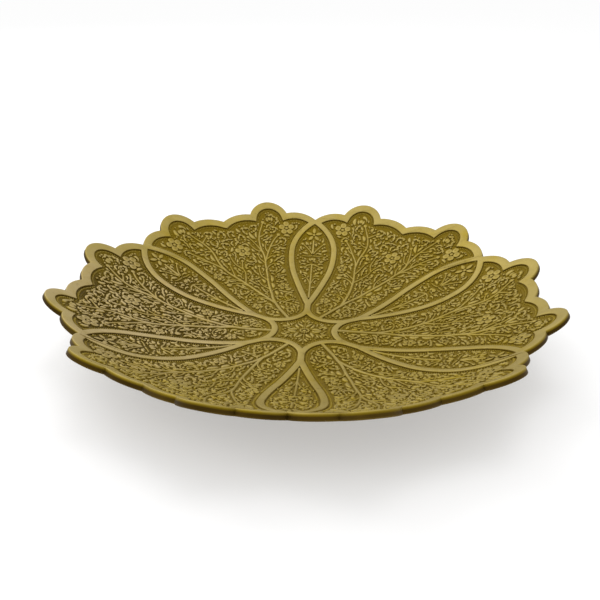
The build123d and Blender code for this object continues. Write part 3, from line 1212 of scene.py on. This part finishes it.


# The first tone is the dark old stain; the second, pale one is a painted highlight for the tops
# there.
STAIN_TONE, PAINTED_LEFT_HIGHLIGHT_TONE = colour(44, 32, 16), colour(178, 160, 116)
SPOT_TONE = colour(70, 52, 22)
EDGE_TONES = (colour(44, 32, 14), colour(92, 74, 32))  # dark and light
BACK_TONES = (colour(94, 76, 34), colour(132, 112, 56))
BACK_PITCH, RING_PITCH = 0.9, 0.45  # mm between turning marks on the back and on the foot ring
# Where the old stain lies on the left, and with it the painted highlight on the tops there.
STAIN_AND_HIGHLIGHT_MIDDLE = (-108 * MM, -18 * MM, 0)
STAIN_AND_HIGHLIGHT_REACH, STAIN_AND_HIGHLIGHT_FADE = 95, 55  # mm: how far the old stain spreads, and over how much it fades


def antique_brass(name, floor_tone, side_tone, top_tone, rough_top, rough_floor):
    """Olive brass: worn tops, plus a painted highlight; patina hollows, plus painted shade."""
    finish = Finish(name)
    height, radius = height_over_straps(finish)
    stain = finish.noise(26, 3)
    patch = finish.noise(7, 3)
    grain = finish.noise(0.9, 3)
    # Tops made pale by height alone: wear, and partly a painted highlight on every raised top.
    worn_and_highlit = (height / MM + (patch - 0.5) * 0.5 + (grain - 0.5) * 0.3).between(-0.8, -0.15)
    # Sunk floor and low sides made dark by height: patina, and partly painted shade in the
    # recesses.
    hollow_patina_and_shade = (height / MM + (grain - 0.5) * 0.5).between(-1.2, -0.7)
    away = finish.node(
        "VectorMath", {"operation": "DISTANCE"}, output=1, _0=finish.place(), _1=STAIN_AND_HIGHLIGHT_MIDDLE
    ) / MM
    # The old stain darkens floors and sides on the left; on the tops there it is a paler painted
    # highlight.
    left_stain_and_highlight = ((STAIN_AND_HIGHLIGHT_REACH - away) / STAIN_AND_HIGHLIGHT_FADE + (stain - 0.5) * 2.6).limited()
    deep = finish.mix(left_stain_and_highlight * 0.9, floor_tone, STAIN_TONE)
    base = finish.mix(hollow_patina_and_shade, deep, finish.mix(left_stain_and_highlight * 0.6, side_tone, floor_tone))
    base = finish.mix(worn_and_highlit, base, finish.mix(left_stain_and_highlight, top_tone, PAINTED_LEFT_HIGHLIGHT_TONE))
    edge_wall = ((-1.2 - height / MM) * 1.6).limited()
    dull = (stain.between(0.45, 0.8) * 0.5 + patch.between(0.5, 0.85) * 0.35).limited()
    base = finish.mix(dull, base, finish.mix(worn_and_highlit, floor_tone, side_tone))
    spots = finish.noise(3.2, 4).between(0.6, 0.72) * 0.4 * stain.between(0.35, 0.6)
    base = finish.mix(spots, base, SPOT_TONE)
    gold = finish.noise(17, 2).between(0.52, 0.75) * 0.5
    base = finish.mix(gold, base, finish.node("HueSaturation", Saturation=1.2, Color=base))
    base = finish.mix(edge_wall, base, finish.mix(stain, *EDGE_TONES))
    underside = (-3.0 - height / MM).limited()
    base = finish.mix(underside, base, finish.mix(stain.between(0.3, 0.7), *BACK_TONES))
    turning = finish.rings(radius, BACK_PITCH) * underside
    rough = worn_and_highlit * (rough_top - rough_floor) + rough_floor + (grain - 0.5) * 0.22
    fine = finish.noise(0.35, 2)
    dent = finish.noise(2.2, 2)
    bumps = fine * 0.25 + grain * 0.45 + dent * 0.6 + turning * 0.12
    return finish.metal(base, rough, 0.35, 0.12, bumps)


def turned_brass(name, tone):
    """Brass fresh from the lathe, gone a little dull: fine rings and a few stains."""
    finish = Finish(name)
    x, y, z = finish.place_parts()
    radius = (x * x + y * y).root()
    rings = finish.rings(radius + z, RING_PITCH)
    stain = finish.noise(14, 4)
    grain = finish.noise(0.8, 2)
    dull = (stain.between(0.4, 0.7) * 0.7).limited()
    base = finish.mix(dull, tone, colour(104, 84, 34))
    rough = dull * 0.2 + 0.34 + (grain - 0.5) * 0.15
    return finish.metal(base, rough, 0.3, 0.04, rings * 0.5 + grain)


def solder_metal(name, tone):
    """Solder that has run and frozen: soft lumps, duller and greyer than brass."""
    finish = Finish(name)
    lump = finish.noise(3.5, 3)
    grain = finish.noise(0.7, 2)
    base = finish.mix(lump.between(0.35, 0.7), tone, colour(110, 98, 66))
    rough = lump * 0.3 + grain * 0.2 + 0.22
    return finish.metal(base, rough, 0.6, 0.25, lump + grain * 0.3)


cast = antique_brass(
    "antique_cast_brass", floor_tone=colour(112, 93, 26), side_tone=colour(142, 122, 42),
    top_tone=colour(160, 143, 82), rough_top=0.54, rough_floor=0.64,
)
turned_ring = turned_brass("turned_ring_brass", colour(168, 142, 74))
solder = solder_metal("solder_metal", colour(146, 134, 96))
upper_side = [casting, straps] + vines + sprays + rosette
for piece in upper_side:
    piece.data.materials.clear()
    piece.data.materials.append(cast.material)
for node, finish in [
    ("foot_ring", turned_ring), ("outer_solder_fillet", solder), ("inner_solder_fillet", solder)
]:
    for holder in bpy.data.objects[node].material_slots:
        holder.material = finish.material
print("materials", [m.name for m in bpy.data.materials if m.users])

# %% [markdown]
# What belongs to what
#
# All the new pieces are parts of the one casting, so they ride with the tray and stand for its
# plain dish. The foot ring and both beads of solder are the measured model's own.

# %% Hand over
for motif in motifs:
    bpy.data.objects.remove(motif)
for piece in upper_side:
    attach(piece, "root")
    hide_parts("dish")
triangles = {p.name: sum(len(f.vertices) - 2 for f in p.data.polygons) for p in upper_side}
print("triangles", triangles, "in all", sum(triangles.values()))
